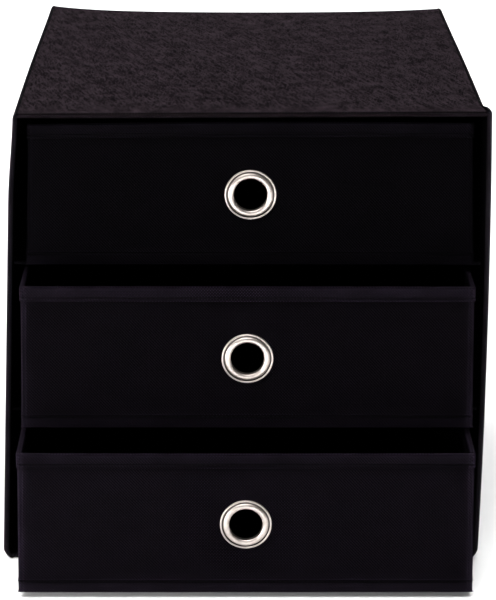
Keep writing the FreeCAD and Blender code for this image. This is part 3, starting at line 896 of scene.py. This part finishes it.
def add_drawer_base(body):
    """The sewn sheet under the drawer, held between its four walls."""
    low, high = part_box(f"{body}_base_cover")
    sheet = new_block(low / MM, high / MM)
    cut_across(sheet, 0, even_places(low.x / MM, high.x / MM, 15))
    cut_across(sheet, 1, even_places(low.y / MM, high.y / MM, 15))
    lay_out_fabric(sheet)
    base = add_drawer_piece(
        sheet, "base", FLOOR_FABRIC, Matrix(), body,
        f"{body}_base_cover",
    )


def add_drawer_insert(body, seed):
    """The loose fabric-covered board that lies on the base."""
    low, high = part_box(f"{body}_insert_cover")
    size = (high - low) / MM
    placement = Matrix.Translation((0, low.y / MM, low.z / MM))
    insert = shape_panel(*size, [(1.0, insert_top_edges)], 0, seed, swell=0)
    add_drawer_piece(
        insert, "insert", FLOOR_FABRIC, placement, body,
        f"{body}_insert_cover",
    )
    board = new_block(*panel_board(*size))
    round_board_corners(board, 2)
    add_drawer_piece(
        board, "insert_stiffener", GREYBOARD, placement, body,
        f"{body}_insert_board",
    )


def add_drawer(name, seed):
    body = f"{name}_drawer"
    low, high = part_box(f"{body}_front_cover")
    face, foot = low.y / MM + HEM_PROUD, low.z / MM
    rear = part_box(f"{body}_back_cover")[1].y / MM - HEM_PROUD
    side = high.x / MM - HEM_PROUD
    middle = (face + rear) / 2
    side_span = rear - face - 2 * WALL
    # Each wall's name, span, whether it turns the drawer's corners, position and angle.
    walls = (
        ("front", 2 * side, True, (0, face, foot), 0),
        ("back", 2 * side, True, (0, rear, foot), 180),
        ("left", side_span, False, (-side, middle, foot), -90),
        ("right", side_span, False, (side, middle, foot), 90),
    )
    add_drawer_walls(name, body, walls, seed)
    add_drawer_base(body)
    add_drawer_insert(body, seed)
    placement = Matrix.Translation((0, face, foot + EYELET_RISE))
    add_drawer_piece(
        shape_eyelet(), "eyelet_ring", EYELET_NICKEL, placement, body,
        f"{body}_eyelet", sharp=60,
    )
    add_drawer_piece(
        shape_washer(), "washer", WASHER_NICKEL, placement, body,
        f"{body}_eyelet_washer",
    )


# ---------------------------------------------------------------- studio, in metres


def add_softbox(name, position, target, width, height, power, spread=180):
    light = bpy.data.lights.new(name, "AREA")
    light.shape = "RECTANGLE"
    light.size, light.size_y, light.energy = width, height, power
    light.spread = math.radians(spread)
    softbox = bpy.data.objects.new(name, light)
    softbox.location = position
    softbox.rotation_mode = "QUATERNION"
    towards = Vector(target) - Vector(position)
    softbox.rotation_quaternion = towards.to_track_quat("-Z", "Y")
    softbox.visible_camera = False
    bpy.context.scene.collection.objects.link(softbox)


def add_sweep():
    """A pale floor just under the cube, which curves up into a backdrop."""
    floor, near, bend, far, half_width, bend_radius, top = -0.0005, -6, 2.2, 3.4, 8, 1.2, 5
    section = [(near, floor), (bend, floor)]
    for angle in range(10, 91, 10):
        across, along = math.sin(math.radians(angle)), math.cos(math.radians(angle))
        rise = bend_radius - (bend_radius - floor) * along
        section.append((bend + bend_radius * across, rise))
    section.append((far, top))
    bm = bmesh.new()
    verts = [bm.verts.new((-half_width, y, z)) for y, z in section]
    edges = [bm.edges.new(pair) for pair in zip(verts, verts[1:])]
    made = bmesh.ops.extrude_edge_only(bm, edges=edges)
    fresh = [item for item in made["geom"] if isinstance(item, bmesh.types.BMVert)]
    bmesh.ops.translate(bm, verts=fresh, vec=(2 * half_width, 0, 0))
    mesh = bpy.data.meshes.new("studio_sweep")
    bm.to_mesh(mesh)
    bm.free()
    mesh.shade_smooth()
    mesh.materials.append(make_pale_paper())
    sweep = bpy.data.objects.new("studio_sweep", mesh)
    bpy.context.scene.collection.objects.link(sweep)


def add_world(strength):
    world = bpy.data.worlds.new("studio")
    bpy.context.scene.world = world
    world.use_nodes = True
    background = world.node_tree.nodes["Background"]
    background.inputs["Color"].default_value = (1, 1, 1, 1)
    background.inputs["Strength"].default_value = strength


def add_camera(position, pan, tilt, roll, lens):
    """A camera turned in degrees: pan from straight ahead, tilt down from level, and roll."""
    data = bpy.data.cameras.new("camera")
    data.lens = lens
    data.sensor_width = 36
    camera = bpy.data.objects.new("camera", data)
    bpy.context.scene.collection.objects.link(camera)
    camera.matrix_world = (
        Matrix.Translation(position)
        @ Matrix.Rotation(math.radians(pan), 4, "Z")
        @ Matrix.Rotation(math.radians(90 - tilt), 4, "X")
        @ Matrix.Rotation(math.radians(roll), 4, "Z")
    )
    bpy.context.scene.camera = camera


# ---------------------------------------------------------------- build


add_case()
for number, drawer in enumerate(DRAWERS):
    add_drawer(drawer, seed=20 + 7 * number)

add_sweep()
add_world(0.16)
add_softbox("overhead_softbox", (-0.4, 1.0, 2.6), (-0.4, 1.0, 0), 3.2, 2.4, 160)
add_softbox("floor_softbox", (-0.2, -1.0, 1.3), (-0.2, -1.0, 0), 1.6, 0.8, 24, spread=60)
add_softbox("front_softbox", (-0.8, -1.3, 2.2), (0, -0.16, 0.15), 2.4, 1.2, 50)
add_softbox("left_softbox", (-0.62, -0.7, 0.12), (0, -0.2, 0.08), 0.3, 0.3, 6)
add_camera((-0.0141, -1.6942, 0.6994), pan=-0.564, tilt=18.417, roll=0.223, lens=145.1)
bpy.context.scene.view_settings.view_transform = "Standard"
